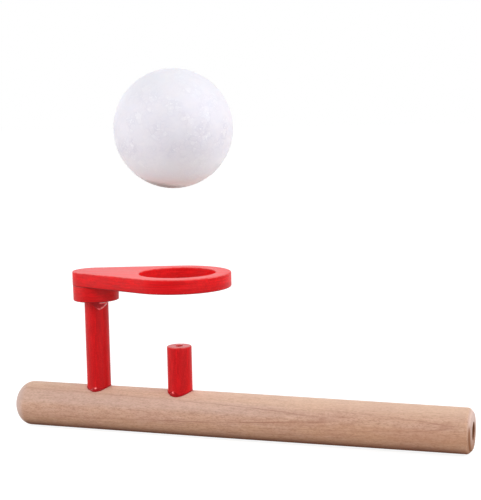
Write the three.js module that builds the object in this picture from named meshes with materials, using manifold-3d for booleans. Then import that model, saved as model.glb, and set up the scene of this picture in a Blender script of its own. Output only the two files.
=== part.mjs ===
// A wooden blow pipe toy: air blown into the pipe leaves by a nozzle and floats a foam ball over a ring.
// Millimetres, +Z up. The pipe lies along X with its mouth at +X. The origin is on the pipe's axis, straight
// under the axis that the nozzle, the ring's hole and the ball share.

import * as THREE from 'three';
import Module from 'manifold-3d';
import { mergeVertices } from 'three/addons/utils/BufferGeometryUtils.js';

// Pipe: one turned hardwood rod, bored from its mouth and a little thinner there
const pipeDiameter = 19;
const mouthDiameter = 18.2;
const taperStart = 16; // from the nozzle's axis towards the mouth
const mouthReach = 122.5; // from the nozzle's axis to the mouth's face
const closedReach = 76.5; // from the nozzle's axis to the tip of the domed end
const domeDepth = 7.2;
const mouthChamfer = 1.8;
const airBoreDiameter = 7.2;
const airBoreOvershoot = 6; // how far the bore's full width runs on past the nozzle's axis
const drillPointDepth = 2.2;

// Nozzle: a bored dowel in a socket that breaks into the air bore
const nozzleDiameter = 10.4;
const nozzleBoreDiameter = 3;
const nozzleRise = 19; // above the pipe's crown
const nozzleEdge = 0.5;
const nozzleBreakIn = 1.2; // how far the socket's floor lies below the air bore's crown

// Post: a dowel in a blind socket, up through the collar to the plate
const postDiameter = 10.2;
const postOffset = 37.5; // from the nozzle's axis
const postRise = 37.5; // from the pipe's crown to the collar
const postSocketDepth = 10;

// Collar and ring plate
const collarDiameter = 19.4;
const collarHeight = 6.5;
const collarEdge = 0.5;
const plateThickness = 6;
const plateEndRadius = 9.8;
const ringOuterRadius = 22.5;
const ringHoleRadius = 16;
const plateEdge = 0.4;

// Ball, as it floats above its seat in the ring
const ballDiameter = 49;
const ballLift = 41.5;

// Clearances
const dowelClearance = 0.15; // all round a glued dowel
const seatClearance = 0.3; // under a dowel's foot and over its end
const glueClearance = 0.2; // between a bead of glue and the wood
const cutOverrun = 3; // how far a cutting solid runs past the face that it opens
const weldDistance = 0.001;

// Beads of glue: a thin ring with one thick lobe, whose middle lies at an angle from +X
const footBead = { width: 0.35, height: 0.45 };
const nozzleLobe = { width: 0.4, height: 1.9, middle: -118, halfSpread: 70 };
const postLobe = { width: 0.3, height: 1.2, middle: -95, halfSpread: 60 };
const collarBead = { width: 0.4, height: 0.4 };
const collarLobe = { width: 0.4, height: 3.8, middle: -46, halfSpread: 60 };

// Facet counts
const pipeFacets = 64;
const dowelFacets = 48;
const collarFacets = 64;
const domeSteps = 12;
const plateArcSteps = 32;
const ballMeridians = 56;
const ballParallels = 28;
const beadFacets = 48;
const beadArcSteps = 4;

// Levels and radii worked out from the sizes above
const pipeRadius = pipeDiameter / 2;
const mouthRadius = mouthDiameter / 2;
const pipeCrown = pipeRadius;
const airBoreRadius = airBoreDiameter / 2;
const nozzleRadius = nozzleDiameter / 2;
const nozzleSocketFloor = airBoreRadius - nozzleBreakIn;
const nozzleTop = pipeCrown + nozzleRise;
const postRadius = postDiameter / 2;
const postSocketFloor = pipeCrown - postSocketDepth;
const collarBottom = pipeCrown + postRise;
const plateBottom = collarBottom + collarHeight;
const plateTop = plateBottom + plateThickness;
const ballRadius = ballDiameter / 2;
const seatRadius = ringHoleRadius + plateEdge;
const ballSeatHeight = plateTop + Math.sqrt(ballRadius ** 2 - seatRadius ** 2);
const ballHeight = ballSeatHeight + ballLift;

const quarterTurn = Math.PI / 2;
const fullTurn = Math.PI * 2;

const wasm = await Module();
wasm.setup();

// Materials
const bareWood = new THREE.MeshStandardMaterial({ color: 0xcfa78c, roughness: 0.55, metalness: 0 });
const redPaint = new THREE.MeshStandardMaterial({ color: 0xcc2126, roughness: 0.4, metalness: 0 });
const whiteFoam = new THREE.MeshStandardMaterial({ color: 0xece9f2, roughness: 0.75, metalness: 0 });
const dryGlue = new THREE.MeshStandardMaterial({ color: 0xd98f8a, roughness: 0.2, metalness: 0 });

// Booleans
function toSolid(geometry) {
  const bare = geometry.clone();
  bare.deleteAttribute('normal');
  bare.deleteAttribute('uv');
  const welded = mergeVertices(bare, weldDistance);
  const corners = welded.index.array;
  const kept = [];
  for (let i = 0; i < corners.length; i += 3) {
    const [a, b, c] = corners.slice(i, i + 3);
    if (a !== b && b !== c && c !== a) kept.push(a, b, c);
  }
  const vertProperties = welded.attributes.position.array;
  const triVerts = Uint32Array.from(kept);
  return new wasm.Manifold(new wasm.Mesh({ numProp: 3, vertProperties, triVerts }));
}

function toGeometry(solid) {
  const mesh = solid.getMesh();
  const geometry = new THREE.BufferGeometry();
  geometry.setAttribute('position', new THREE.BufferAttribute(mesh.vertProperties, 3));
  geometry.setIndex(new THREE.BufferAttribute(mesh.triVerts, 1));
  geometry.computeVertexNormals();
  return geometry;
}

// A profile of [radius, distance] points, turned about the X axis or the Z axis
function turned(profile, facets) {
  return new THREE.LatheGeometry(profile.map(([radius, along]) => new THREE.Vector2(radius, along)), facets);
}

function turnedAlongX(profile, facets) {
  return turned(profile, facets).rotateZ(-quarterTurn);
}

function turnedAlongZ(profile, facets) {
  return turned(profile, facets).rotateX(quarterTurn);
}

function socketCut(x, dowelRadius, floor) {
  const radius = dowelRadius + dowelClearance;
  const top = pipeCrown + cutOverrun;
  const profile = [[0, floor], [radius, floor], [radius, top], [0, top]];
  return toSolid(turnedAlongZ(profile, dowelFacets).translate(x, 0, 0));
}

// Pipe
function domeProfile() {
  const points = [];
  for (let i = 0; i <= domeSteps; i += 1) {
    const angle = quarterTurn * (i / domeSteps);
    points.push([pipeRadius * Math.sin(angle), domeDepth * (1 - Math.cos(angle)) - closedReach]);
  }
  return points;
}

function makePipe() {
  const profile = [
    ...domeProfile(),
    [pipeRadius, taperStart],
    [mouthRadius, mouthReach - mouthChamfer],
    [mouthRadius - mouthChamfer, mouthReach],
    [airBoreRadius, mouthReach],
    [airBoreRadius, -airBoreOvershoot],
    [0, -airBoreOvershoot - drillPointDepth],
  ];
  const rod = toSolid(turnedAlongX(profile, pipeFacets));
  const nozzleSocket = socketCut(0, nozzleRadius, nozzleSocketFloor);
  const postSocket = socketCut(-postOffset, postRadius, postSocketFloor);
  return toGeometry(rod.subtract(nozzleSocket).subtract(postSocket));
}

// Nozzle and post
function makeNozzle() {
  const bore = nozzleBoreDiameter / 2;
  const foot = nozzleSocketFloor + seatClearance;
  return turnedAlongZ([
    [bore, foot],
    [nozzleRadius, foot],
    [nozzleRadius, nozzleTop - nozzleEdge],
    [nozzleRadius - nozzleEdge, nozzleTop],
    [bore, nozzleTop],
    [bore, foot],
  ], dowelFacets);
}

function makePost() {
  const foot = postSocketFloor + seatClearance;
  const top = plateBottom - seatClearance;
  return turnedAlongZ([[0, foot], [postRadius, foot], [postRadius, top], [0, top]], dowelFacets);
}

// Collar and plate
function makeCollar() {
  const hole = postRadius + dowelClearance;
  const radius = collarDiameter / 2;
  return turnedAlongZ([
    [hole, collarBottom],
    [radius - collarEdge, collarBottom],
    [radius, collarBottom + collarEdge],
    [radius, plateBottom],
    [hole, plateBottom],
    [hole, collarBottom],
  ], collarFacets);
}

// The plate's outline: an arc round the hole and an arc over the collar, joined by their two common tangents
function plateOutline() {
  const tangent = Math.acos((plateEndRadius - ringOuterRadius) / postOffset);
  const outline = new THREE.Shape();
  outline.absarc(0, 0, ringOuterRadius, -tangent, tangent, false);
  outline.absarc(-postOffset, 0, plateEndRadius, tangent, fullTurn - tangent, false);
  outline.closePath();
  const hole = new THREE.Path();
  hole.absarc(0, 0, ringHoleRadius, 0, fullTurn, true);
  outline.holes.push(hole);
  return outline;
}

function makePlate() {
  const plate = new THREE.ExtrudeGeometry(plateOutline(), {
    depth: plateThickness - plateEdge - plateEdge,
    curveSegments: plateArcSteps,
    bevelEnabled: true,
    bevelThickness: plateEdge,
    bevelSize: plateEdge,
    bevelOffset: -plateEdge,
    bevelSegments: 1,
  });
  return plate.translate(0, 0, plateEdge);
}

// Ball
function makeBall() {
  return new THREE.SphereGeometry(ballRadius, ballMeridians, ballParallels).rotateX(quarterTurn);
}

// Glue: 1 at the lobe's middle, falling smoothly to 0 at its ends
function lobeShare(angle, lobe) {
  const fromMiddle = angle - THREE.MathUtils.degToRad(lobe.middle);
  const wrapped = THREE.MathUtils.euclideanModulo(fromMiddle + Math.PI, fullTurn) - Math.PI;
  const reach = Math.abs(wrapped) / THREE.MathUtils.degToRad(lobe.halfSpread);
  return reach < 1 ? (1 + Math.cos(Math.PI * reach)) / 2 : 0;
}

// A closed ring about the Z axis; section(angle) gives its corners as [radius, height], counterclockwise
function sweptRing(section) {
  const positions = [];
  const index = [];
  let corners = 0;
  for (let i = 0; i < beadFacets; i += 1) {
    const angle = fullTurn * (i / beadFacets);
    const points = section(angle);
    corners = points.length;
    for (const [radius, height] of points) {
      positions.push(radius * Math.cos(angle), radius * Math.sin(angle), height);
    }
  }
  for (let i = 0; i < beadFacets; i += 1) {
    const here = i * corners;
    const next = ((i + 1) % beadFacets) * corners;
    for (let j = 0; j < corners; j += 1) {
      const k = (j + 1) % corners;
      index.push(here + j, next + k, here + k, here + j, next + j, next + k);
    }
  }
  const geometry = new THREE.BufferGeometry();
  geometry.setAttribute('position', new THREE.Float32BufferAttribute(positions, 3));
  geometry.setIndex(index);
  geometry.computeVertexNormals();
  return geometry;
}

// A bead in the corner between a dowel and the pipe, whose underside follows the pipe's round surface
function makeFootBead(dowelRadius, lobe) {
  const inner = dowelRadius + glueClearance;
  return sweptRing((angle) => {
    const share = lobeShare(angle, lobe);
    const width = footBead.width + lobe.width * share;
    const height = footBead.height + lobe.height * share;
    const under = pipeRadius + glueClearance;
    const ground = (radius) => Math.sqrt(under ** 2 - (radius * Math.sin(angle)) ** 2);
    const points = [[inner, ground(inner)]];
    for (let i = 0; i <= beadArcSteps; i += 1) {
      const rise = quarterTurn * (i / beadArcSteps);
      const radius = inner + width * Math.cos(rise);
      points.push([radius, ground(radius) + height * Math.sin(rise)]);
    }
    return points;
  });
}

// A bead in the corner between the post and the collar's underside, with one run of glue down the post
function makeCollarBead() {
  const inner = postRadius + glueClearance;
  const ceiling = collarBottom - glueClearance;
  return sweptRing((angle) => {
    const share = lobeShare(angle, collarLobe);
    const width = collarBead.width + collarLobe.width * share;
    const height = collarBead.height + collarLobe.height * share;
    const points = [[inner, ceiling]];
    for (let i = 0; i <= beadArcSteps; i += 1) {
      const rise = quarterTurn * (i / beadArcSteps);
      points.push([inner + width * Math.sin(rise), ceiling - height * Math.cos(rise)]);
    }
    return points;
  });
}

// The toy
function piece(name, geometry, material) {
  const mesh = new THREE.Mesh(geometry, material);
  mesh.name = name;
  return mesh;
}

const pipe = piece('pipe_body', makePipe(), bareWood);

const nozzle = new THREE.Group();
nozzle.add(piece('air_nozzle', makeNozzle(), redPaint));
nozzle.add(piece('nozzle_glue_bead', makeFootBead(nozzleRadius, nozzleLobe), dryGlue));

const post = new THREE.Group();
post.position.x = -postOffset;
post.add(piece('ring_post', makePost(), redPaint));
post.add(piece('post_glue_bead', makeFootBead(postRadius, postLobe), dryGlue));
post.add(piece('ring_collar', makeCollar(), redPaint));
post.add(piece('collar_glue_bead', makeCollarBead(), dryGlue));

const plate = piece('ring_plate', makePlate(), redPaint);
plate.position.z = plateBottom;

const ball = piece('foam_ball', makeBall(), whiteFoam);
ball.position.z = ballHeight;

const toy = new THREE.Group();
toy.add(pipe, nozzle, post, plate, ball);

export default toy;
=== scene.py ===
"""Blow pipe toy: the detailed pieces, their looks, the light and the camera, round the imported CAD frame."""

import math

import bmesh
import bpy
from mathutils import Matrix, Vector, noise
from mathutils.kdtree import KDTree


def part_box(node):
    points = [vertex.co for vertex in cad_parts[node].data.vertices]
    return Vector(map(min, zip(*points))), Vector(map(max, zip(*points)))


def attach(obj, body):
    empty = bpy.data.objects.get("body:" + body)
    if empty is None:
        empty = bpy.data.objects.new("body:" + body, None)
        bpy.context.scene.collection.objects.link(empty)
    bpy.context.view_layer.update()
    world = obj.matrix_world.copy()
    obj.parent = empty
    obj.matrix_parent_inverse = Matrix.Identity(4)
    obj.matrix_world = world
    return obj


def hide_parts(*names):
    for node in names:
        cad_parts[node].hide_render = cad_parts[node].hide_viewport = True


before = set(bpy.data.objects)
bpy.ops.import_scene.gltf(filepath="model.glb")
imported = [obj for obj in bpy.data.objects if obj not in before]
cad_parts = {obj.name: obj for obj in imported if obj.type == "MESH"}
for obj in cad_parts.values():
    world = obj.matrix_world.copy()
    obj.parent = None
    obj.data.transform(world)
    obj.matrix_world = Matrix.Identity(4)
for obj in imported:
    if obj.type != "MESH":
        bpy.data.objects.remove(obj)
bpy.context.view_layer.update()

MM = 0.001
TURN = 2 * math.pi
QUARTER = math.pi / 2

# Sizes in millimetres, as in the CAD, with the pipe a hair smaller so that no rounding leaves the CAD's box
PIPE_RADIUS = 9.4999
MOUTH_RADIUS = 9.1
TAPER_START = 16.0
MOUTH_REACH = 122.5
CLOSED_REACH = 76.4999
DOME_DEPTH = 7.2
MOUTH_CHAMFER = 1.8
BORE_RADIUS = 3.6
BORE_END = -6.0
DRILL_POINT = 2.2
NOZZLE_RADIUS = 5.2
NOZZLE_BORE_RADIUS = 1.5
NOZZLE_FOOT = 2.7
NOZZLE_SOCKET_FLOOR = 2.4
NOZZLE_TOP = 28.5
POST_X = -37.5
POST_RADIUS = 5.1
POST_FOOT = -0.2
POST_SOCKET_FLOOR = -0.5
COLLAR_RADIUS = 9.7
COLLAR_BOTTOM = 47.0
PLATE_BOTTOM = 53.5
PLATE_TOP = 59.5
PLATE_END_RADIUS = 9.8
RING_RADIUS = 22.5
HOLE_RADIUS = 16.0
BALL_RADIUS = 24.5
BALL_HEIGHT = (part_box("foam_ball")[0].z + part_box("foam_ball")[1].z) / 2 / MM

# How finely the pieces are cut: facets round each, and the longest facet along it in millimetres
PIPE_FACETS = 144
PIPE_FACET_LENGTH = 2.0
DOME_STEPS = 22
DOWEL_FACETS = 96
DOWEL_FACET_LENGTH = 1.5
COLLAR_FACETS = 144
COLLAR_FACET_LENGTH = 0.8
PLATE_FACET_LENGTH = 0.7

# Faces that meet at more than this angle keep a crisp edge between them
SHARP_DEGREES = 40


# Mesh helpers
def make_object(name, points, faces, sharp_degrees=SHARP_DEGREES):
    """A mesh object in metres from points in millimetres, smooth but for edges sharper than the angle."""
    mesh = bpy.data.meshes.new(name)
    mesh.from_pydata([Vector(p) * MM for p in points], [], faces)
    mesh.validate()
    mesh.shade_smooth()
    mesh.set_sharp_from_angle(angle=math.radians(sharp_degrees))
    made = bpy.data.objects.new(name, mesh)
    bpy.context.scene.collection.objects.link(made)
    return made


def eased(profile, cuts, steps=4):
    """The profile with the corners named in cuts {index: distance} rounded off."""
    points = []
    count = len(profile)
    for i, corner in enumerate(profile):
        cut = cuts.get(i, 0)
        if not cut:
            points.append(corner)
            continue
        here = Vector(corner)
        before = here + (Vector(profile[i - 1]) - here).normalized() * cut
        after = here + (Vector(profile[(i + 1) % count]) - here).normalized() * cut
        for step in range(steps + 1):
            t = step / steps
            point = before * (1 - t) ** 2 + here * 2 * t * (1 - t) + after * t ** 2
            points.append(tuple(point))
    return points


def spaced(profile, longest, closed=False):
    """The profile with its long spans cut into even lengths."""
    points = []
    count = len(profile)
    for i in range(count if closed else count - 1):
        start = Vector(profile[i])
        end = Vector(profile[(i + 1) % count])
        cuts = max(1, math.ceil((end - start).length / longest))
        points += [tuple(start.lerp(end, k / cuts)) for k in range(cuts)]
    if not closed:
        points.append(profile[-1])
    return points


def turned(profile, segments, closed=False):
    """Points and faces of a profile [(radius, height)] turned about Z. An open profile ends on the axis."""
    points = []
    rings = []
    for radius, height in profile:
        on_axis = radius < 1e-6
        if on_axis:
            rings.append([len(points)])
            points.append((0, 0, height))
            continue
        rings.append([len(points) + k for k in range(segments)])
        for k in range(segments):
            angle = TURN * k / segments
            points.append((radius * math.cos(angle), radius * math.sin(angle), height))
    faces = []
    pairs = list(zip(rings, rings[1:])) + ([(rings[-1], rings[0])] if closed else [])
    for low, high in pairs:
        for k in range(segments):
            nxt = (k + 1) % segments
            face = [low[k % len(low)], low[nxt % len(low)], high[nxt % len(high)], high[k % len(high)]]
            faces.append(list(dict.fromkeys(face)))
    return points, faces


def joined_ring(sections):
    """Points and faces of a closed ring of sections that have the same number of points each."""
    points = [point for section in sections for point in section]
    faces = []
    count = len(sections)
    corners = len(sections[0])
    for i in range(count):
        here = i * corners
        nxt = (i + 1) % count * corners
        for j in range(corners):
            k = (j + 1) % corners
            faces.append((here + j, nxt + j, nxt + k, here + k))
    return points, faces


def along_x(points):
    """Turns points about Z into points about X, with their height along X."""
    return [(z, x, y) for x, y, z in points]


def shifted(points, x):
    return [(px + x, py, pz) for px, py, pz in points]


def apply_modifiers(made):
    graph = bpy.context.evaluated_depsgraph_get()
    finished = bpy.data.meshes.new_from_object(made.evaluated_get(graph))
    made.modifiers.clear()
    made.data = finished


def cut_out(made, cutters):
    for i, (points, faces) in enumerate(cutters):
        cutter = make_object(f"cutter_{i}", points, faces)
        boolean = made.modifiers.new("cut", "BOOLEAN")
        boolean.operation = "DIFFERENCE"
        boolean.solver = "EXACT"
        boolean.object = cutter
        apply_modifiers(made)
        bpy.data.objects.remove(cutter)
    made.data.shade_smooth()
    made.data.set_sharp_from_angle(angle=math.radians(SHARP_DEGREES))


def finish_piece(made, material, slot, body, *nodes):
    made.data.materials.clear()
    made.data.materials.append(material)
    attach(made, body)
    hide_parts(*nodes)


# Shader helpers
class Nodes:
    """Short ways to add and link the nodes of a shader tree."""

    def __init__(self, tree):
        self.tree = tree

    def feed(self, socket, value):
        if isinstance(value, bpy.types.NodeSocket):
            self.tree.links.new(value, socket)
        else:
            socket.default_value = value

    def node(self, kind, settings=None, **sockets):
        made = self.tree.nodes.new(kind)
        for setting, value in (settings or {}).items():
            setattr(made, setting, value)
        for socket, value in sockets.items():
            self.feed(made.inputs[socket.replace("_", " ")], value)
        return made

    def combine(self, kind, operation, first, second, output):
        """A node that combines two values, both fed by position because their sockets share a name."""
        made = self.node(kind, {"operation": operation})
        self.feed(made.inputs[0], first)
        self.feed(made.inputs[1], second)
        return made.outputs[output]

    def math(self, operation, first, second=0.0):
        return self.combine("ShaderNodeMath", operation, first, second, "Value")

    def times(self, first, second):
        return self.math("MULTIPLY", first, second)

    def plus(self, first, second):
        return self.math("ADD", first, second)

    def distance(self, first, second):
        return self.math("ABSOLUTE", self.math("SUBTRACT", first, second))

    def vector(self, operation, first, second):
        return self.combine("ShaderNodeVectorMath", operation, first, second, "Vector")

    def dot(self, first, second):
        return self.combine("ShaderNodeVectorMath", "DOT_PRODUCT", first, second, "Value")

    def length(self, first):
        return self.combine("ShaderNodeVectorMath", "LENGTH", first, (0, 0, 0), "Value")

    def place(self):
        """The point in millimetres."""
        return self.vector("MULTIPLY", self.node("ShaderNodeTexCoord").outputs["Object"], (1000, 1000, 1000))

    def slope(self, direction):
        """How far the surface's own normal lies along a direction, from -1 to 1."""
        return self.dot(self.node("ShaderNodeTexCoord").outputs["Normal"], direction)

    def noise(self, place, stretch, detail=2.0, roughness=0.5, shift=(0, 0, 0)):
        """Noise whose grains are stretch millimetres long each way."""
        scaled = self.vector("DIVIDE", self.vector("ADD", place, shift), stretch)
        made = self.node("ShaderNodeTexNoise", Vector=scaled, Scale=1.0, Detail=detail, Roughness=roughness)
        return made.outputs["Fac"]

    def spread(self, value, low, high, start=0.0, end=1.0):
        """The value moved from low..high to start..end, smoothly and clamped."""
        made = self.node("ShaderNodeMapRange", {"interpolation_type": "SMOOTHSTEP"})
        for socket, number in zip(made.inputs, (value, low, high, start, end)):
            self.feed(socket, number)
        return made.outputs["Result"]

    def mix(self, share, first, second):
        """A mix of two colours, whose sockets on the node are inputs 6 and 7 and output 2."""
        made = self.node("ShaderNodeMix", {"data_type": "RGBA"})
        self.feed(made.inputs[0], share)
        self.feed(made.inputs[6], first)
        self.feed(made.inputs[7], second)
        return made.outputs[2]

    def paint(self, colour, *layers):
        """The colour under layers of (share, tone), the last one on top."""
        for share, tone in layers:
            colour = self.mix(share, colour, tone)
        return colour

    def bump(self, height, distance_mm, strength, under=None):
        made = self.node("ShaderNodeBump", Height=height, Distance=distance_mm * MM, Strength=strength)
        if under is not None:
            self.feed(made.inputs["Normal"], under)
        return made.outputs["Normal"]

    def seen(self):
        """1 for what the camera sees, straight, mirrored or through glass, and 0 for all other light."""
        path = self.node("ShaderNodeLightPath")
        seen = self.math("MAXIMUM", path.outputs["Is Camera Ray"], path.outputs["Is Glossy Ray"])
        return self.math("MAXIMUM", seen, path.outputs["Is Transmission Ray"])


class Look(Nodes):
    """A material with a Principled shader."""

    def __init__(self, name, **sockets):
        self.material = bpy.data.materials.new(name)
        self.material.use_nodes = True
        super().__init__(self.material.node_tree)
        self.surface = self.tree.nodes["Principled BSDF"]
        self.set(**sockets)

    def set(self, **sockets):
        for socket, value in sockets.items():
            self.feed(self.surface.inputs[socket.replace("_", " ")], value)


def rgb(red, green, blue):
    """A shader colour from 0 to 255 screen values."""
    def linear(value):
        share = value / 255
        return share / 12.92 if share <= 0.04045 else ((share + 0.055) / 1.055) ** 2.4

    return (linear(red), linear(green), linear(blue), 1)


UP = (0, 0, 1)
TO_MOUTH = (1, 0, 0)

# Tones of the bare beech
WOOD_ROSY = rgb(217, 177, 155)
WOOD_YELLOW = rgb(225, 185, 157)
WOOD_BAND = rgb(212, 168, 150)
MOTTLE_DARK = rgb(170, 122, 97)
MOTTLE_PALE = rgb(224, 192, 170)
FIBRE_DARK = rgb(156, 110, 84)
FLECK_DARK = rgb(148, 102, 76)
FLECK_PALE = rgb(228, 196, 172)
RING_LINE = rgb(154, 97, 77)
LOW_SIDE_SHADE = rgb(176, 112, 68)
UNDERSIDE_SHADE = rgb(96, 36, 6)
MOUTH_HALF = rgb(190, 130, 100)
PALE_FLANK = rgb(222, 202, 194)
WARM_FLANK = rgb(190, 128, 88)
CROWN_HIGHLIGHT = rgb(230, 202, 182)
END_PALE_AND_SHEEN = rgb(218, 194, 187)
END_DARK = rgb(146, 103, 78)
END_PORE = rgb(160, 118, 100)
LIP_HIGHLIGHT = rgb(240, 215, 208)
LIP_DARK = rgb(140, 90, 58)
BORE_SHADE = rgb(120, 66, 36)
PAINT_STAIN = rgb(196, 112, 108)

# The growth rings are a family of planes that lean slightly to the pipe's axis
RING_TILT = math.radians(18.5)
RING_NORMAL = (-0.0145, -math.cos(RING_TILT), math.sin(RING_TILT))
# Marked rings: level along the normal in millimetres, half width, strength
MARKED_RINGS = (
    (8.47, 0.15, 0.9),
    (8.2, 0.09, 0.35),
    (7.62, 0.06, 0.2),
    (7.48, 0.07, 0.62),
    (7.32, 0.05, 0.2),
    (6.6, 0.09, 0.35),
    (5.7, 0.1, 0.45),
)
FAINT_RING_SPACING = 0.62
FAINT_RING_SHARE = 0.16


def growth_rings(look, place):
    """The level along the growth rings' normal, made wavy, and the share of the dark lines that they draw."""
    sway = look.noise(place, (52, 10, 10), detail=1)
    ripple = look.noise(place, (11, 2.5, 2.5), detail=2, shift=(9, 4, 1))
    level = look.dot(place, RING_NORMAL)
    level = look.plus(level, look.times(look.math("SUBTRACT", sway, 0.5), 0.3))
    level = look.plus(level, look.times(look.math("SUBTRACT", ripple, 0.5), 0.14))

    faint = look.math("FRACT", look.math("DIVIDE", level, FAINT_RING_SPACING))
    line = look.times(look.spread(faint, 0.0, 0.5, 1.0, 0.0), FAINT_RING_SHARE)
    for middle, half_width, strength in MARKED_RINGS:
        ring = look.spread(look.distance(level, middle), 0.0, half_width, strength, 0.0)
        line = look.math("MAXIMUM", line, ring)
    broken = look.noise(place, (22, 2.2, 2.2), detail=2, shift=(7, 3, 5))
    line = look.times(line, look.spread(broken, 0.36, 0.6, 0.35, 1.0))
    return level, line


def painted_light_tones(look, colour, slope, along):
    """Tones by the way the wood faces: painted shade below, paler upper flanks, darker and warmer flanks, and
    a painted highlight on the crown.
    """
    # By the way the wood faces, the upper flanks are paler and the flanks darker and warmer
    pale_flank = look.times(look.spread(slope, 0.15, 0.45), look.spread(slope, 0.9, 0.65))
    pale_flank = look.times(pale_flank, look.spread(along, 80.0, 20.0, 0.0, 0.2))
    warm_flank = look.times(look.spread(slope, 0.3, 0.08), look.spread(slope, -0.55, -0.25))
    warm_flank = look.times(warm_flank, look.spread(along, 20.0, 100.0, 0.08, 0.25))
    # A painted highlight on the crown, stronger towards the mouth
    crown = look.times(look.spread(slope, 0.45, 0.95), look.spread(along, -30.0, 100.0, 0.25, 0.4))
    return look.paint(
        colour,
        # Painted shade below: warm on the lower side and dark on the underside
        (look.spread(slope, 0.1, -0.7, 0.0, 0.3), LOW_SIDE_SHADE),
        (look.spread(slope, -0.52, -0.97, 0.0, 0.82), UNDERSIDE_SHADE),
        (look.spread(along, 30.0, 100.0, 0.0, 0.12), MOUTH_HALF),
        (pale_flank, PALE_FLANK),
        (warm_flank, WARM_FLANK),
        (crown, CROWN_HIGHLIGHT),
    )


def end_tones(look, colour, place, along, height):
    """End grain on the domed end and the mouth, paled partly as a painted sheen; the mouth's lip with a
    painted highlight above and a darker line below; and a painted shade on the bore's wall.
    """
    end_slope = look.slope(TO_MOUTH)
    end_grain = look.plus(look.spread(end_slope, 0.1, -0.8), look.spread(end_slope, 0.5, 0.92))
    pores = look.spread(look.noise(place, (0.3, 0.22, 0.22), detail=2), 0.35, 0.6, 0.3, 0.0)
    low_mouth = look.times(look.spread(height, 8.5, -7.0), look.spread(along, 0.0, 50.0))
    # End grain is paled, partly as a painted sheen, and is darker towards the bottom of the mouth
    end_colour = look.paint(END_PALE_AND_SHEEN, (low_mouth, END_DARK), (pores, END_PORE))

    # A line along the lip gets a painted highlight above and is darker below
    lip = look.spread(look.distance(along, MOUTH_REACH - 0.6), 0.15, 0.5, 1.0, 0.0)
    lightened = look.times(lip, look.spread(height, 2.5, 5.0, 0.0, 0.35))
    lip_dark = look.times(lip, look.spread(height, 4.5, 1.0, 0.0, 0.85))
    from_pipe_axis = look.length(look.vector("MULTIPLY", place, (0, 1, 1)))
    # A painted shade inside the bore
    bore_shade = look.spread(from_pipe_axis, BORE_RADIUS + 0.25, BORE_RADIUS + 0.05, 0.0, 0.6)
    bore_shade = look.times(bore_shade, look.spread(along, -30.0, -10.0))
    return look.paint(
        colour,
        (look.times(end_grain, 0.85), end_colour),
        (lightened, LIP_HIGHLIGHT),
        (lip_dark, LIP_DARK),
        (bore_shade, BORE_SHADE),
    )


def dowel_stains(look, colour, place, slope):
    """Red paint and glue that crept onto the wood round the two dowels."""
    smear = look.noise(place, (1.6, 1.6, 1.6), detail=3, shift=(2, 6, 1))
    for x in (0, POST_X):
        from_dowel = look.vector("SUBTRACT", place, (x, 0, 0))
        from_dowel = look.length(look.vector("MULTIPLY", from_dowel, (1, 1, 0)))
        stain = look.times(look.spread(from_dowel, 6.6, 5.3), look.spread(smear, 0.42, 0.6, 0.1, 0.5))
        colour = look.mix(look.times(stain, look.spread(slope, 0.2, 0.7)), colour, PAINT_STAIN)
    return colour


def bare_wood_look():
    """Pale beech, sanded and left bare."""
    look = Look("bare_wood", Specular_IOR_Level=0.12)
    place = look.place()
    level, line = growth_rings(look, place)
    patch = look.noise(place, (24, 6, 6), detail=3, shift=(31, 0, 11))
    mottle = look.noise(place, (3.4, 1.1, 1.1), detail=2, shift=(13, 2, 8))
    fibre = look.noise(place, (7, 0.45, 0.45), detail=3, roughness=0.6)
    fleck = look.noise(place, (1.1, 0.4, 0.4), detail=2, roughness=0.7, shift=(3, 17, 29))
    colour = look.paint(
        WOOD_ROSY,
        (look.spread(patch, 0.36, 0.64), WOOD_YELLOW),
        (look.times(look.spread(level, 7.6, 8.6), 0.45), WOOD_BAND),
        (look.spread(mottle, 0.38, 0.56, 0.22, 0.0), MOTTLE_DARK),
        (look.spread(mottle, 0.54, 0.7, 0.0, 0.22), MOTTLE_PALE),
        (look.spread(fibre, 0.3, 0.7, 0.24, 0.0), FIBRE_DARK),
        (look.spread(fleck, 0.5, 0.32, 0.0, 0.36), FLECK_DARK),
        (look.spread(fleck, 0.5, 0.7, 0.0, 0.36), FLECK_PALE),
        (look.times(line, 0.7), RING_LINE),
    )
    parts = look.node("ShaderNodeSeparateXYZ", Vector=place).outputs
    slope = look.slope(UP)
    colour = painted_light_tones(look, colour, slope, parts["X"])
    colour = end_tones(look, colour, place, parts["X"], parts["Z"])
    colour = dowel_stains(look, colour, place, slope)

    normal = look.bump(fibre, 0.04, 0.3)
    normal = look.bump(fleck, 0.03, 0.35, normal)
    rough = look.spread(fibre, 0.3, 0.7, 0.62, 0.5)
    rough = look.plus(rough, look.spread(slope, -0.3, -0.8, 0.0, 0.35))
    look.set(Base_Color=colour, Normal=normal, Roughness=rough)
    return look.material


# Tones of the red lacquer, besides those that each piece's own red gives
GROOVE_RED = rgb(166, 6, 14)
RIDGE_RED = rgb(250, 34, 42)
BOARD_FOOT_SHADE_RED = rgb(150, 6, 12)
SHADED_RED = rgb(104, 4, 8)
WORN_AND_HIGHLIT_EDGE_RED = rgb(244, 112, 108)
SCUFFED_AND_SHEEN_RED = rgb(240, 190, 190)


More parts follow.
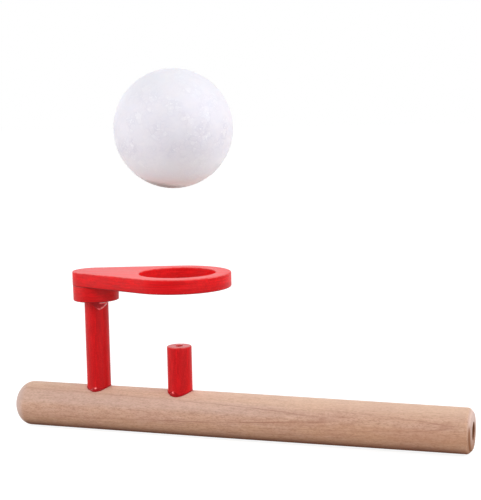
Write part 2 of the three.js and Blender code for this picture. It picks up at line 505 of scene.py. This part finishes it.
def board_layers(look, colour, place):
    """The layers that show on a board's side through the lacquer, with a painted shade towards the side's
    foot, and how deep their grooves are.
    """
    layer = look.noise(place, (14, 14, 0.42), detail=2, shift=(0, 0, 4.3))
    patchy = look.noise(place, (12, 12, 6), detail=1, shift=(6, 1, 3))
    level = look.math("ABSOLUTE", look.slope(UP))
    side = look.times(look.spread(level, 0.3, 0.7, 1.0, 0.0), look.spread(patchy, 0.4, 0.62, 0.35, 1.0))
    groove = look.times(look.spread(layer, 0.48, 0.36), side)
    ridge = look.times(look.spread(layer, 0.53, 0.64), side)
    height = look.node("ShaderNodeSeparateXYZ", Vector=place).outputs["Z"]
    colour = look.paint(
        colour,
        (look.times(groove, 0.36), GROOVE_RED),
        (look.times(ridge, 0.4), RIDGE_RED),
        # A painted shade towards the foot of the board's side
        (look.spread(height, PLATE_BOTTOM + 4.0, PLATE_BOTTOM + 0.3, 0.0, 0.3), BOARD_FOOT_SHADE_RED),
    )
    return colour, groove


def red_look(name, tone, grain_stretch, contrast, board=False, top_share=0.0):
    """Red lacquer over wood whose grain runs along the longest stretch, scuffed and given a painted sheen by
    a share on top.
    """
    look = Look(name, Specular_IOR_Level=0.16)
    red, green, blue = tone
    place = look.place()
    grain = look.noise(place, grain_stretch, detail=3, roughness=0.6)
    wide = look.noise(place, tuple(s * 3.2 for s in grain_stretch), detail=2, shift=(5, 9, 2))
    fine = look.noise(place, (0.5, 0.5, 0.5), detail=2, shift=(2, 4, 8))
    dark_grain = rgb(red - 20 * contrast, green, blue)
    pale_grain = rgb(red + 14 * contrast, green + 8 * contrast, blue + 8 * contrast)
    colour = look.paint(
        dark_grain,
        (look.spread(grain, 0.36, 0.64), pale_grain),
        (look.spread(wide, 0.4, 0.6, 0.0, 0.6), rgb(red - 22, green - 4, blue - 3)),
        (look.spread(fine, 0.5, 0.7, 0.0, 0.3), rgb(red + 16, green + 14, blue + 14)),
        (look.spread(fine, 0.5, 0.3, 0.0, 0.3), rgb(red - 36, green - 6, blue - 4)),
    )
    height = look.plus(grain, look.times(fine, 0.4))
    if board:
        colour, groove = board_layers(look, colour, place)
        height = look.math("SUBTRACT", height, groove)

    # The underside is darker, a painted shade. The lacquer is thin on rounded upper edges, which are the only
    # faces that lean between flat and upright, and their paler tone is partly a painted highlight
    rise = look.slope(UP)
    edge = look.times(look.spread(rise, 0.12, 0.42), look.spread(rise, 0.985, 0.88))
    scuff = look.spread(look.noise(place, (2.4, 2.4, 2.4), detail=3, shift=(1, 8, 3)), 0.4, 0.6, 0.15, 0.5)
    # A share on top is paled, by scuffs and by a painted sheen
    lightened = look.times(look.spread(rise, 0.9, 1.0, 0.0, top_share), look.spread(fine, 0.3, 0.6))
    colour = look.paint(
        colour,
        (look.spread(rise, -0.12, -0.5, 0.0, 0.7), SHADED_RED),
        (look.times(edge, scuff), WORN_AND_HIGHLIT_EDGE_RED),
        (lightened, SCUFFED_AND_SHEEN_RED),
    )
    normal = look.bump(height, 0.05, 0.45 if board else 0.3)
    rough = look.spread(wide, 0.35, 0.65, 0.46, 0.38)
    look.set(Base_Color=colour, Normal=normal, Roughness=rough)
    return look.material


# Tones of the foam
FOAM_WHITE = rgb(239, 235, 242)
FOAM_CLOUD = rgb(234, 230, 238)
FOAM_BEAD = rgb(232, 229, 238)
FOAM_SEAM = rgb(216, 213, 226)
FOAM_BRIGHT_BEAD = rgb(252, 250, 254)
FOAM_DULL_BEAD = rgb(222, 219, 230)
FOAM_PAINTED_GLINT = rgb(253, 251, 255)
FOAM_TOP_LIGHT = rgb(243, 243, 252)
FOAM_LOW_LIGHT = rgb(250, 248, 251)
FOAM_RED_BOUNCE = rgb(238, 220, 206)
FOAM_UNDER_SHADE = rgb(108, 96, 88)

FOAM_BEADS_PER_MM = 0.46
# The way that the painted shade on the ball's underside faces
UNDER_SHADE_WAY = (-0.17, -0.06, -0.984)


def foam_look():
    """Fused foam beads, bright and dull in clusters, with seams between them and painted glints on their
    skins.
    """
    look = Look("white_foam", Specular_IOR_Level=0.12, Subsurface_Weight=0.4, Subsurface_Scale=0.005)
    look.set(Subsurface_Radius=(1.0, 0.8, 0.7))
    place = look.place()
    cells = {"Vector": place, "Scale": FOAM_BEADS_PER_MM, "Randomness": 0.95}
    bead = look.node("ShaderNodeTexVoronoi", {"feature": "F1"}, **cells)
    border = look.node("ShaderNodeTexVoronoi", {"feature": "DISTANCE_TO_EDGE"}, **cells)
    shade = look.node("ShaderNodeSeparateColor", Color=bead.outputs["Color"]).outputs["Red"]
    cloud = look.noise(place, (8, 8, 8), detail=3, shift=(0, 0, -8.5))
    grit = look.noise(place, (0.75, 0.75, 0.75), detail=1, shift=(4, 4, 4))
    seam = look.spread(border.outputs["Distance"], 0.0, 0.16, 1.0, 0.0)
    seam = look.times(seam, look.spread(cloud, 0.42, 0.62, 0.15, 1.0))
    cluster = look.spread(cloud, 0.48, 0.6)
    # Painted glints: white specks on the beads' skins
    painted_glint = look.times(look.spread(grit, 0.58, 0.72), look.spread(cloud, 0.48, 0.62, 0.05, 0.7))
    colour = look.paint(
        FOAM_WHITE,
        (look.spread(cloud, 0.35, 0.65), FOAM_CLOUD),
        (look.spread(shade, 0.0, 1.0, 0.0, 0.5), FOAM_BEAD),
        (look.times(seam, 0.32), FOAM_SEAM),
        (look.times(look.spread(shade, 0.5, 0.9, 0.0, 0.3), cluster), FOAM_BRIGHT_BEAD),
        (look.times(look.spread(shade, 0.4, 0.1, 0.0, 0.45), cluster), FOAM_DULL_BEAD),
        (painted_glint, FOAM_PAINTED_GLINT),
    )

    # Painted light: the top is a little cooler and lighter, and the lower band lighter. A painted red bounce
    # warms the underside, and a painted shade greys its lowest part
    rise = look.slope(UP)
    colour = look.paint(
        colour,
        (look.spread(rise, -0.2, 0.8, 0.0, 0.6), FOAM_TOP_LIGHT),
        (look.spread(rise, -0.3, -0.65, 0.0, 0.6), FOAM_LOW_LIGHT),
        (look.spread(rise, -0.7, -0.95, 0.0, 0.5), FOAM_RED_BOUNCE),
        (look.spread(look.slope(UNDER_SHADE_WAY), 0.87, 0.975, 0.0, 0.7), FOAM_UNDER_SHADE),
    )
    normal = look.bump(grit, 0.04, 0.3)
    normal = look.bump(look.times(seam, -1.0), 0.03, 0.3, normal)
    rough = look.spread(shade, 0.0, 1.0, 0.34, 0.5)
    rough = look.plus(rough, look.spread(rise, 0.2, 0.85, 0.0, 0.5))
    look.set(Base_Color=colour, Normal=normal, Roughness=rough)
    return look.material


GLUE_CONTACT_SHADE = rgb(92, 4, 8)


def glue_look(name, thin_colour, beaded_colour, thick_and_highlight_colour, gloss):
    """Glossy dried glue: as red as the paint where it is thin, pink where it beads, whitish where thick, with
    the pink and white also painted as highlights, and a painted shade where it meets the wood.
    """
    look = Look(name, Specular_IOR_Level=gloss)
    place = look.place()
    cloud = look.noise(place, (0.7, 0.7, 0.7), detail=3)
    thick = look.node("ShaderNodeAttribute", {"attribute_name": "thick_and_highlight_share"}).outputs["Fac"]
    uneven = look.times(thick, look.spread(cloud, 0.3, 0.6, 0.6, 1.0))
    # A painted shade darkens the glue where it meets the pipe's wood
    from_pipe_axis = look.length(look.vector("MULTIPLY", place, (0, 1, 1)))
    near_wood = look.spread(from_pipe_axis, PIPE_RADIUS + 0.3, PIPE_RADIUS, 0.0, 0.7)
    colour = look.paint(
        thin_colour,
        (look.spread(uneven, 0.0, 0.5), beaded_colour),
        (look.spread(uneven, 0.5, 0.9), thick_and_highlight_colour),
        (near_wood, GLUE_CONTACT_SHADE),
    )
    normal = look.bump(cloud, 0.06, 0.3)
    rough = look.spread(cloud, 0.35, 0.65, 0.12, 0.26)
    look.set(Base_Color=colour, Normal=normal, Roughness=rough)
    return look.material


# Pipe
def make_pipe():
    profile = []
    for i in range(DOME_STEPS + 1):
        angle = QUARTER * i / DOME_STEPS
        profile.append((PIPE_RADIUS * math.sin(angle), DOME_DEPTH * (1 - math.cos(angle)) - CLOSED_REACH))
    dome_end = len(profile)
    profile += [
        (PIPE_RADIUS, TAPER_START),
        (MOUTH_RADIUS, MOUTH_REACH - MOUTH_CHAMFER),
        (MOUTH_RADIUS - MOUTH_CHAMFER, MOUTH_REACH),
        (BORE_RADIUS, MOUTH_REACH),
        (BORE_RADIUS, BORE_END),
        (0, BORE_END - DRILL_POINT),
    ]
    chamfer_start = dome_end + 1
    profile = eased(profile, {chamfer_start: 0.75, chamfer_start + 1: 0.8, chamfer_start + 2: 0.3}, 6)
    points, faces = turned(spaced(profile, PIPE_FACET_LENGTH), PIPE_FACETS)
    made = make_object("pipe_rod", along_x(points), faces)

    above_pipe = PIPE_RADIUS + 3
    cutters = []
    sockets = ((0, NOZZLE_RADIUS, NOZZLE_SOCKET_FLOOR), (POST_X, POST_RADIUS, POST_SOCKET_FLOOR))
    for x, radius, floor in sockets:
        wall = [(0, floor), (radius, floor), (radius, above_pipe), (0, above_pipe)]
        cut_points, cut_faces = turned(wall, DOWEL_FACETS)
        cutters.append((shifted(cut_points, x), cut_faces))
    cut_out(made, cutters)
    return made


# Dowels and collar, each with its edges rounded by a fraction of a millimetre
def make_nozzle():
    profile = eased([
        (NOZZLE_BORE_RADIUS, NOZZLE_FOOT),
        (NOZZLE_RADIUS, NOZZLE_FOOT),
        (NOZZLE_RADIUS, NOZZLE_TOP),
        (NOZZLE_BORE_RADIUS, NOZZLE_TOP),
    ], {1: 0.2, 2: 0.55, 3: 0.25})
    points, faces = turned(spaced(profile, DOWEL_FACET_LENGTH, True), DOWEL_FACETS, True)
    return make_object("nozzle_dowel", points, faces)


def make_post():
    profile = eased([
        (0, POST_FOOT),
        (POST_RADIUS, POST_FOOT),
        (POST_RADIUS, PLATE_BOTTOM),
        (0, PLATE_BOTTOM),
    ], {1: 0.3, 2: 0.1})
    points, faces = turned(spaced(profile, DOWEL_FACET_LENGTH), DOWEL_FACETS)
    return make_object("post_dowel", shifted(points, POST_X), faces)


def make_collar():
    profile = eased([
        (POST_RADIUS, COLLAR_BOTTOM),
        (COLLAR_RADIUS, COLLAR_BOTTOM),
        (COLLAR_RADIUS, PLATE_BOTTOM),
        (POST_RADIUS, PLATE_BOTTOM),
    ], {0: 0.2, 1: 0.5, 2: 0.12})
    points, faces = turned(spaced(profile, COLLAR_FACET_LENGTH, True), COLLAR_FACETS, True)
    return make_object("collar_ring", shifted(points, POST_X), faces)


# Plate
def plate_loop():
    """Outline points of the plate with their outward normals, anticlockwise from the ring's tangent."""
    tangent = math.acos((PLATE_END_RADIUS - RING_RADIUS) / -POST_X)
    loop = []

    def add_arc(x, radius, start, end):
        cuts = math.ceil(radius * (end - start) / PLATE_FACET_LENGTH)
        for k in range(cuts):
            angle = start + (end - start) * k / cuts
            direction = Vector((math.cos(angle), math.sin(angle)))
            loop.append((Vector((x, 0)) + direction * radius, direction))

    def add_line(angle, x_from, radius_from, x_to, radius_to):
        direction = Vector((math.cos(angle), math.sin(angle)))
        start = Vector((x_from, 0)) + direction * radius_from
        end = Vector((x_to, 0)) + direction * radius_to
        cuts = math.ceil((end - start).length / PLATE_FACET_LENGTH)
        for k in range(cuts):
            loop.append((start.lerp(end, k / cuts), direction))

    add_arc(0, RING_RADIUS, -tangent, tangent)
    add_line(tangent, 0, RING_RADIUS, POST_X, PLATE_END_RADIUS)
    add_arc(POST_X, PLATE_END_RADIUS, tangent, TURN - tangent)
    add_line(TURN - tangent, POST_X, PLATE_END_RADIUS, 0, RING_RADIUS)
    return loop


def edge_arc(base, way, height, radius, start, end, steps=4):
    """Points of a rounded edge about base at a height, swung from start to end in the plane of way and Z."""
    arc = []
    for k in range(steps + 1):
        turn = start + (end - start) * k / steps
        place = base + way * (radius * math.cos(turn))
        arc.append((place.x, place.y, height + radius * math.sin(turn)))
    return arc


def make_plate():
    """A closed loop of sections, each round the board's cross-section from the rim's foot to the hole."""
    edge = 0.45
    wall_cuts = 8
    face_cuts = 3
    low = PLATE_BOTTOM + edge
    high = PLATE_TOP - edge
    climb = [low + (high - low) * k / wall_cuts for k in range(1, wall_cuts)]
    sections = []
    for rim, outward in plate_loop():
        angle = math.atan2(rim.y, rim.x)
        to_axis = Vector((-math.cos(angle), -math.sin(angle)))
        hole = to_axis * -HOLE_RADIUS
        rim_base = rim - outward * edge
        hole_base = hole - to_axis * edge
        across = [rim_base.lerp(hole_base, k / face_cuts) for k in range(1, face_cuts)]
        section = edge_arc(rim_base, outward, low, edge, -QUARTER, 0)
        section += [(rim.x, rim.y, height) for height in climb]
        section += edge_arc(rim_base, outward, high, edge, 0, QUARTER)
        section += [(place.x, place.y, PLATE_TOP) for place in across]
        section += edge_arc(hole_base, to_axis, high, edge, QUARTER, 0)
        section += [(hole.x, hole.y, height) for height in reversed(climb)]
        section += edge_arc(hole_base, to_axis, low, edge, 0, -QUARTER)
        section += [(place.x, place.y, PLATE_BOTTOM) for place in reversed(across)]
        sections.append(section)
    return make_object("ring_board", *joined_ring(sections))


# Ball
BEAD_COUNT = 1500
GROOVE_DEPTH = 0.035
# The width of a groove and the beads' wander from an even spread, as shares of the ball's radius
GROOVE_WIDTH_SHARE = 0.018
BEAD_WANDER_SHARE = 0.05
BALL_SUBDIVISIONS = 7


def bead_tree():
    """The beads' middles on a sphere of radius 1: an even spiral, each moved a little its own way."""
    golden = math.pi * (3 - math.sqrt(5))
    seed_scale = 997
    tree = KDTree(BEAD_COUNT)
    for i in range(BEAD_COUNT):
        height = 1 - 2 * (i + 0.5) / BEAD_COUNT
        radius = math.sqrt(1 - height * height)
        centre = Vector((radius * math.cos(golden * i), radius * math.sin(golden * i), height))
        wander = Vector(noise.cell_vector(centre * seed_scale)) - Vector((0.5, 0.5, 0.5))
        tree.insert((centre + wander * BEAD_WANDER_SHARE).normalized(), i)
    tree.balance()
    return tree


def make_ball():
    """A sphere of fused foam beads: each bulges slightly, with a shallow groove where it meets the next."""
    sphere = bmesh.new()
    bmesh.ops.create_icosphere(sphere, subdivisions=BALL_SUBDIVISIONS, radius=1.0)
    tree = bead_tree()
    for vertex in sphere.verts:
        (_, _, near), (_, _, far) = tree.find_n(vertex.co, 2)
        share = min(1.0, (far - near) / GROOVE_WIDTH_SHARE)
        vertex.co *= 1 - GROOVE_DEPTH / BALL_RADIUS * (1 - share) ** 2
    points = [v.co * BALL_RADIUS + Vector((0, 0, BALL_HEIGHT)) for v in sphere.verts]
    faces = [[v.index for v in f.verts] for f in sphere.faces]
    sphere.free()
    return make_object("foam_sphere", points, faces, 180)


# Glue
def bell(value, middle, width):
    return math.exp(-((value - middle) / width) ** 2)


def wound_ring(name, x, sections, shares, sharp_degrees):
    """A closed ring about an upright axis at x from sections of (radius, height), and each corner's share."""
    wound = []
    for i, section in enumerate(sections):
        angle = TURN * i / len(sections)
        along = math.cos(angle)
        across = math.sin(angle)
        wound.append([(x + radius * along, radius * across, height) for radius, height in section])
    points, faces = joined_ring(wound)
    made = make_object(name, points, faces, sharp_degrees)
    attribute = made.data.attributes.new("thick_and_highlight_share", "FLOAT", "POINT")
    attribute.data.foreach_set("value", shares)
    return made


def make_foot_glue(name, x, dowel_radius, wide, tall, drop_degrees):
    """A thin fillet of glue between a dowel and the pipe's crown, with one drop that climbs the dowel."""
    count = 120
    steps = 10
    inner = dowel_radius - 0.15
    ripple_share = 0.25
    drop_rise = 1.2
    drop_thickness = 0.16
    # How many degrees the thick front, the drop's climb and the drop itself spread to each side
    front_spread = 70
    climb_spread = 18
    drop_spread = 6
    sections = []
    shares = []
    for i in range(count):
        degrees = 360 * i / count
        angle = math.radians(degrees)
        away = (degrees - drop_degrees + 180) % 360 - 180
        ripple = 1 + ripple_share * noise.noise(Vector((math.cos(angle) * 2.3, math.sin(angle) * 2.3, x)))
        front = bell(away, 0, front_spread)
        reach = wide * ripple * (0.6 + 0.6 * front)
        climb = tall * ripple * (0.5 + 0.7 * front) + drop_rise * bell(away, 0, climb_spread)
        fillet = [(inner, -0.1)]
        for k in range(steps + 1):
            swing = QUARTER * k / steps
            fillet.append((dowel_radius + reach * math.cos(swing) ** 1.6, climb * math.sin(swing)))
        fillet.append((inner, climb))
        section = []
        for radius, rise in fillet:
            drop = bell(away, 0, drop_spread) * bell(rise / climb, 0.78, 0.2)
            radius += drop_thickness * drop
            ground = math.sqrt(PIPE_RADIUS ** 2 - (radius * math.sin(angle)) ** 2)
            section.append((radius, ground + rise))
            # The drop's share turns it whitish, a painted highlight on the drop
            shares.append(drop)
        sections.append(section)
    return wound_ring(name, x, sections, shares, 60)


# The run of glue down the post: angle from +X in degrees, and how far its lower edge lies under the collar
RUN_EDGE = (
    (-108, 0.25),
    (-93, 1.0),
    (-77, 2.05),
    (-65, 3.1),
    (-54, 4.1),
    (-37, 3.45),
    (-20, 2.5),
    (-4, 1.55),
    (14, 0.95),
    (32, 0.25),
)
# The depth of the bead all round, beside the run
BEAD_DEPTH = 0.25
RUN_SMOOTHING_DEGREES = (-6, -3, 0, 3, 6)


def run_depth(degrees):
    """How far the run of glue reaches down at an angle, smoothed over twelve degrees."""
    total = 0.0
    for offset in RUN_SMOOTHING_DEGREES:
        angle = degrees + offset
        depth = BEAD_DEPTH
        for (a0, d0), (a1, d1) in zip(RUN_EDGE, RUN_EDGE[1:]):
            if a0 <= angle <= a1:
                depth = d0 + (d1 - d0) * (angle - a0) / (a1 - a0)
        total += depth
    return total / len(RUN_SMOOTHING_DEGREES)


def ramp(value, start, length):
    """The share that climbs from 0 at start to 1 a length later."""
    return min(1.0, max(0.0, (value - start) / length))


def make_collar_glue():
    """The glue under the collar: a thin bead all round, and a web that ran down the post to a thick edge."""
    count = 240
    rows = 30
    inner = POST_RADIUS - 0.12
    film = 0.05
    bead_size = 0.3
    # The run is thicker to the right of its tip, and thickest at the tip
    right_start = -58
    tip_degrees = -56
    sections = []
    shares = []
    for i in range(count):
        degrees = (360 * i / count + 180) % 360 - 180
        reach = run_depth(degrees) * (1 + 0.05 * noise.noise(Vector((degrees / 9, 3.1, 0))))
        lumps = 1 + 0.3 * noise.noise(Vector((degrees / 8, 0, 7.7)))
        in_run = ramp(reach, 0.5, 0.8)
        right = ramp(degrees, right_start, 16)
        tip = bell(degrees, tip_degrees, 8)
        rim_width = 0.2 + 0.28 * right + 0.24 * tip
        rim_height = in_run * lumps * (0.12 + 0.2 * right + 0.4 * tip)
        # The rim's share pales it, for thick glue and partly as a painted highlight
        rim_share = in_run * lumps * (0.12 + 0.72 * right + 0.4 * tip)
        section = [(inner, COLLAR_BOTTOM), (inner, COLLAR_BOTTOM - reach)]
        shares += [0.0, 0.0]
        for j in range(rows, -1, -1):
            down = reach * j / rows
            rim = bell(down, reach - rim_width * 0.9, rim_width)
            bead = bell(down, 0, bead_size)
            close = math.sqrt(max(0.0, 1 - (j / rows) ** 10))
            thickness = (film + bead_size * lumps * bead + rim_height * rim) * close
            section.append((POST_RADIUS + thickness, COLLAR_BOTTOM - down))
            # A pale streak high on the run's right is a painted highlight
            highlight_streak = 0.9 * right * in_run * bell(down, 0.75, 0.55)
            shares.append(min(1.0, rim_share * rim + highlight_streak + 0.35 * in_run * bead))
        sections.append(section)
    return wound_ring("collar_glue", POST_X, sections, shares, 70)


# Materials. The grain runs up the dowels, across the collar's slice and along the board
bare_wood = bare_wood_look()
red_upright = red_look("red_wood_upright", (210, 13, 18), (0.7, 0.7, 6), 0.7, top_share=0.25)
red_slice = red_look("red_wood_slice", (217, 14, 19), (5, 5, 0.7), 0.6)
red_board = red_look("red_wood_board", (232, 11, 16), (9, 0.6, 0.6), 0.35, board=True)
white_foam = foam_look()
foot_glue = glue_look("foot_glue", rgb(170, 8, 16), rgb(240, 70, 74), rgb(255, 190, 186), 0.12)
run_glue = glue_look("run_glue", rgb(176, 8, 20), rgb(255, 104, 108), rgb(226, 200, 196), 0.15)

# The glue at each dowel's foot: its axis, the dowel's radius, its width and height, and its drop's angle
FOOT_GLUE = {
    "nozzle_glue": (0, NOZZLE_RADIUS, 0.3, 0.7, -103),
    "post_glue": (POST_X, POST_RADIUS, 0.26, 0.6, -82),
}

# Each piece with its material, slot and body, and the CAD node that it replaces
finish_piece(make_pipe(), bare_wood, "bare_wood", "pipe", "pipe_body")
finish_piece(make_nozzle(), red_upright, "red_wood", "pipe", "air_nozzle")
finish_piece(make_post(), red_upright, "red_wood", "pipe", "ring_post")
finish_piece(make_collar(), red_slice, "red_wood", "pipe", "ring_collar")
finish_piece(make_plate(), red_board, "red_wood", "pipe", "ring_plate")
finish_piece(make_ball(), white_foam, "white_foam", "ball", "foam_ball")
for glue_name, glue_shape in FOOT_GLUE.items():
    finish_piece(make_foot_glue(glue_name, *glue_shape), foot_glue, "dry_glue", "pipe", f"{glue_name}_bead")
finish_piece(make_collar_glue(), run_glue, "dry_glue", "pipe", "collar_glue_bead")


def way_to(azimuth_degrees, elevation_degrees):
    """The direction of an azimuth and elevation: azimuth 0 is in front of the toy and 90 at its mouth."""
    azimuth = math.radians(azimuth_degrees)
    elevation = math.radians(elevation_degrees)
    return Vector((
        math.sin(azimuth) * math.cos(elevation),
        -math.cos(azimuth) * math.cos(elevation),
        math.sin(elevation),
    ))


# Camera, from a fit to the outlines in the photograph: the target in millimetres, angles in degrees, the
# distance in metres, and the lens and the sensor in millimetres
CAMERA_TARGET = Vector((28.02, 0, 69.45))
CAMERA_AZIMUTH = 18.82
CAMERA_ELEVATION = 6.86
CAMERA_ROLL = -1.2
CAMERA_DISTANCE = 0.50185
LENS = 88.574
SENSOR_WIDTH = 36


def make_camera():
    back = way_to(CAMERA_AZIMUTH, CAMERA_ELEVATION)
    roll = math.radians(CAMERA_ROLL)
    right = Vector(UP).cross(back).normalized()
    up = back.cross(right)
    rolled_right = right * math.cos(roll) + up * math.sin(roll)
    rolled_up = up * math.cos(roll) - right * math.sin(roll)
    data = bpy.data.cameras.new("camera")
    data.sensor_width = SENSOR_WIDTH
    data.lens = LENS
    data.clip_start = 0.01
    data.clip_end = 50
    camera = bpy.data.objects.new("camera", data)
    turn = Matrix((rolled_right, rolled_up, back)).transposed()
    place = CAMERA_TARGET * MM + back * CAMERA_DISTANCE
    camera.matrix_world = Matrix.Translation(place) @ turn.to_4x4()
    bpy.context.scene.collection.objects.link(camera)
    bpy.context.scene.camera = camera


# Light: soft square lamps round the toy, all at one distance in metres
LAMP_AIM = Vector((0.02, 0, 0.06))
LAMP_DISTANCE = 0.8
# Each lamp's azimuth and elevation in degrees, its power in watts and its width in metres
LAMPS = {
    "front_left_lamp": (-30, 38, 3.1, 0.5),
    "front_right_lamp": (40, 8, 1.4, 0.5),
    "high_right_lamp": (75, 46, 0.4, 0.15),
    "right_lamp": (75, 8, 1.65, 0.5),
    "back_right_lamp": (110, 38, 3.5, 0.5),
    "left_lamp": (-65, 8, 2.25, 0.5),
    "back_left_lamp": (-145, 38, 2.35, 0.5),
}


def make_lamps():
    for name, (azimuth, elevation, power, width) in LAMPS.items():
        way = way_to(azimuth, elevation)
        data = bpy.data.lights.new(name, "AREA")
        data.shape = "SQUARE"
        data.size = width
        data.energy = power
        lamp = bpy.data.objects.new(name, data)
        lamp.location = LAMP_AIM + way * LAMP_DISTANCE
        lamp.rotation_euler = way.to_track_quat("Z", "Y").to_euler()
        bpy.context.scene.collection.objects.link(lamp)


# The world and the floor look white to the camera, but throw less light than that on the toy
WHITE = 1.0
WORLD_GLOW = 0.03
FLOOR_HALF = 6.0
FLOOR_WHITE_NEAR = 0.88
FLOOR_FADE = (0.25, 1.2)
FLOOR_PALE = (0.62, 0.62, 0.62, 1)
FLOOR_SHADOW_CATCHER = (0.3, 0.3, 0.3, 1)


def make_world():
    world = bpy.data.worlds.new("studio")
    bpy.context.scene.world = world
    world.use_nodes = True
    nodes = Nodes(world.node_tree)
    background = nodes.tree.nodes["Background"]
    nodes.feed(background.inputs["Color"], (1, 1, 1, 1))
    nodes.feed(background.inputs["Strength"], nodes.spread(nodes.seen(), 0.0, 1.0, WORLD_GLOW, WHITE))


def make_floor():
    """A pale floor that the camera sees as white, but for the toy's soft shadow."""
    level = -PIPE_RADIUS * MM
    mesh = bpy.data.meshes.new("floor")
    corners = [(x * FLOOR_HALF, y * FLOOR_HALF, level) for x, y in ((-1, -1), (1, -1), (1, 1), (-1, 1))]
    mesh.from_pydata(corners, [], [(0, 1, 2, 3)])
    floor = bpy.data.objects.new("floor", mesh)
    bpy.context.scene.collection.objects.link(floor)

    look = Look("floor")
    look.tree.nodes.remove(look.surface)
    away = look.length(look.node("ShaderNodeTexCoord").outputs["Object"])
    white = look.node("ShaderNodeEmission", Strength=look.spread(away, *FLOOR_FADE, FLOOR_WHITE_NEAR, WHITE))
    shadow_catcher = look.node("ShaderNodeBsdfDiffuse", Color=FLOOR_SHADOW_CATCHER)
    shadowed_white = look.node("ShaderNodeAddShader")
    look.feed(shadowed_white.inputs[0], white.outputs[0])
    look.feed(shadowed_white.inputs[1], shadow_catcher.outputs[0])
    pale = look.node("ShaderNodeBsdfDiffuse", Color=FLOOR_PALE)
    mixed = look.node("ShaderNodeMixShader", Fac=look.seen())
    look.feed(mixed.inputs[1], pale.outputs[0])
    look.feed(mixed.inputs[2], shadowed_white.outputs[0])
    look.feed(look.tree.nodes["Material Output"].inputs["Surface"], mixed.outputs[0])
    mesh.materials.append(look.material)


make_camera()
make_lamps()
make_world()
make_floor()

bpy.context.scene.view_settings.view_transform = "Standard"
